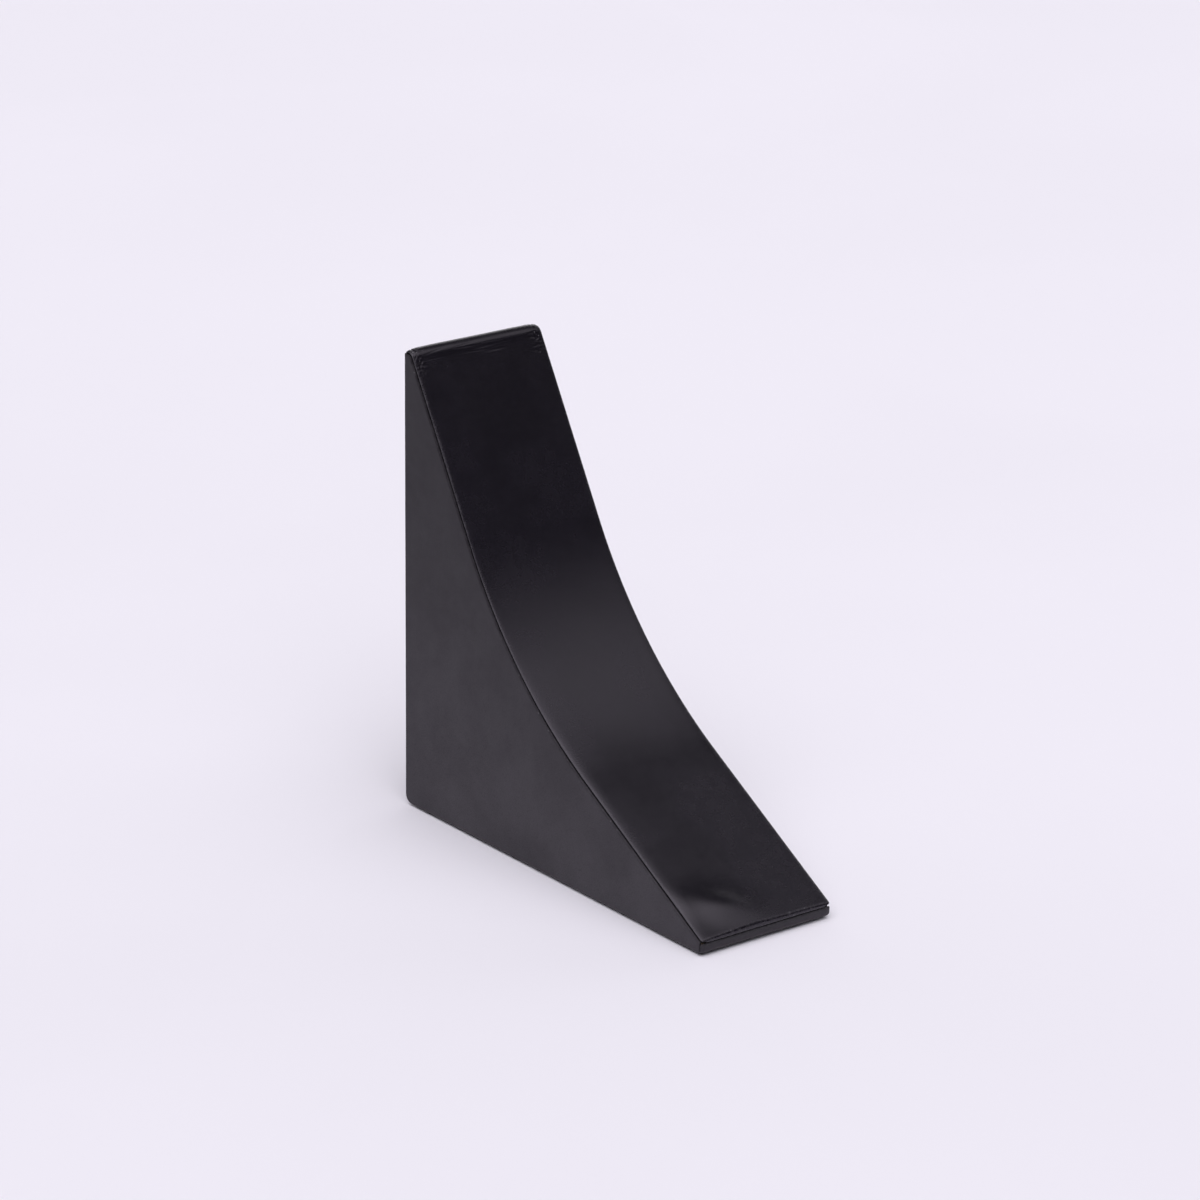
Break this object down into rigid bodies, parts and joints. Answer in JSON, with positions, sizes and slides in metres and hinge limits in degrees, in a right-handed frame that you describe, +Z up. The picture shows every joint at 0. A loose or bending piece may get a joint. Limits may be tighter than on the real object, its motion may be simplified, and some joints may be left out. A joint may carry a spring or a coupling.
{
  "type": "door stop",
  "caption": "Free-standing weighted door stop: a leather-covered wedge with a flat base, an upright back and a hollow-curved ramp that a door rests against.",
  "frame": {"origin": "on the floor, in the middle of the footprint's bounding box", "axes": "+X across the door stop, +Y from the toe to the upright back, +Z up"},
  "size_m": [0.0396, 0.12, 0.12],
  "materials": {
    "strip_leather": "smooth black leather, satin, finely grained",
    "side_leather": "smooth black leather, matte",
    "base_leather": "smooth black leather, matte",
    "pad_rubber": "matte black non-slip sheet",
    "core_board": "fibreboard, cut and sanded",
    "core_plywood": "birch plywood, sanded",
    "dowel_wood": "beech dowel rod",
    "backing_board": "bonded leather-fibre backing board",
    "foam": "thin closed-cell foam sheet",
    "plate_steel": "laser-cut mild steel, mill finish"
  },
  "bodies": {
    "root": {"cover_strip": "strip_leather", "side_panel_left": "side_leather", "side_panel_right": "side_leather", "base_panel": "base_leather", "base_pad": "pad_rubber", "core_frame": "core_board", "core_side_left": "core_plywood", "core_side_right": "core_plywood", "core_dowels": "dowel_wood", "ramp_backing": "backing_board", "rattle_pad_left": "foam", "rattle_pad_right": "foam", "weight_plate_1": "plate_steel", "weight_plate_2": "plate_steel", "weight_plate_3": "plate_steel", "weight_plate_4": "plate_steel"}
  },
  "joints": []
}
